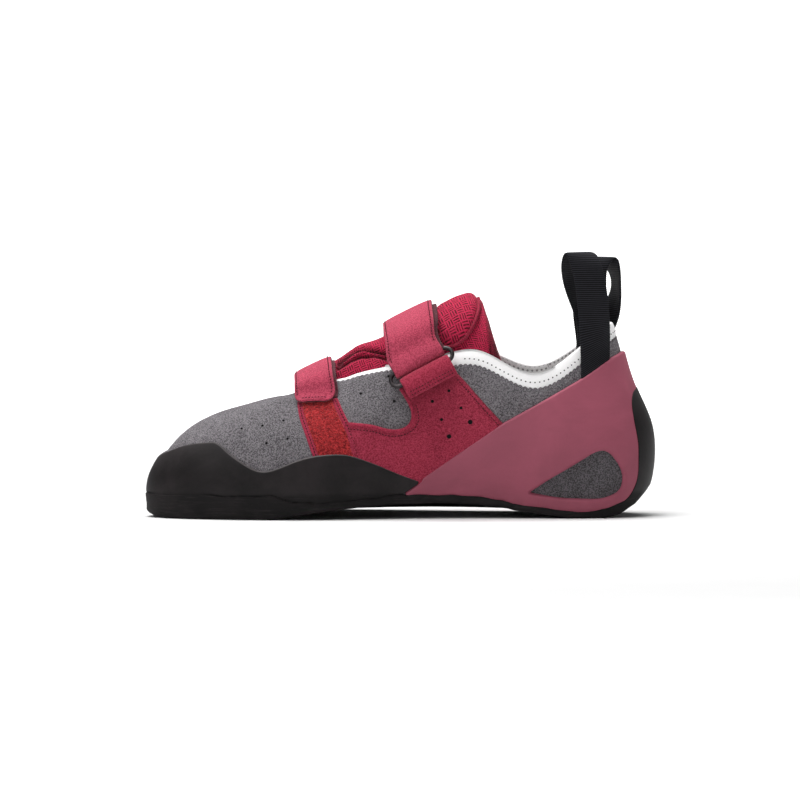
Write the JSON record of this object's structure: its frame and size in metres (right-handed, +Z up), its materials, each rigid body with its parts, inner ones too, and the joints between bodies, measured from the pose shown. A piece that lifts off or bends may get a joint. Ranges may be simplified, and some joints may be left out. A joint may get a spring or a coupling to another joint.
{
  "type": "climbing shoe",
  "caption": "Right climbing shoe with a neutral last, two closure straps, rubber toe and heel rands, padded mesh tongue and webbing pull loops.",
  "frame": {"origin": "middle of the underside of the shoe's box, on the ground under the sole", "axes": "-X towards the toe, +X towards the heel, -Y the inner side of the right foot, +Z up"},
  "size_m": [0.245, 0.091, 0.1272],
  "materials": {
    "black_rubber": "matte black climbing rubber",
    "burgundy_rubber": "matte dusty burgundy rubber",
    "grey_suede": "grey suede with a fine nap",
    "burgundy_suede": "burgundy suede with a fine nap",
    "white_lining": "white synthetic lining, matte",
    "red_mesh": "crimson padded knit mesh",
    "red_fleece": "red loop pile for hook closure",
    "black_webbing": "ribbed black webbing",
    "ring_metal": "dark metal wire, satin"
  },
  "bodies": {
    "root": {"outsole": "black_rubber", "insole": "white_lining", "upper": "grey_suede", "collar_binding": "white_lining", "toe_rand": "black_rubber", "heel_rand": "burgundy_rubber", "side_panel": "burgundy_suede", "side_piping": "burgundy_suede", "front_patch": "red_fleece", "tongue": "red_mesh", "front_strap": "burgundy_suede", "rear_strap": "burgundy_suede", "strap_ring": "ring_metal", "ring_tab": "burgundy_suede", "pull_loop_inner": "black_webbing", "pull_loop_outer": "black_webbing"}
  },
  "joints": []
}
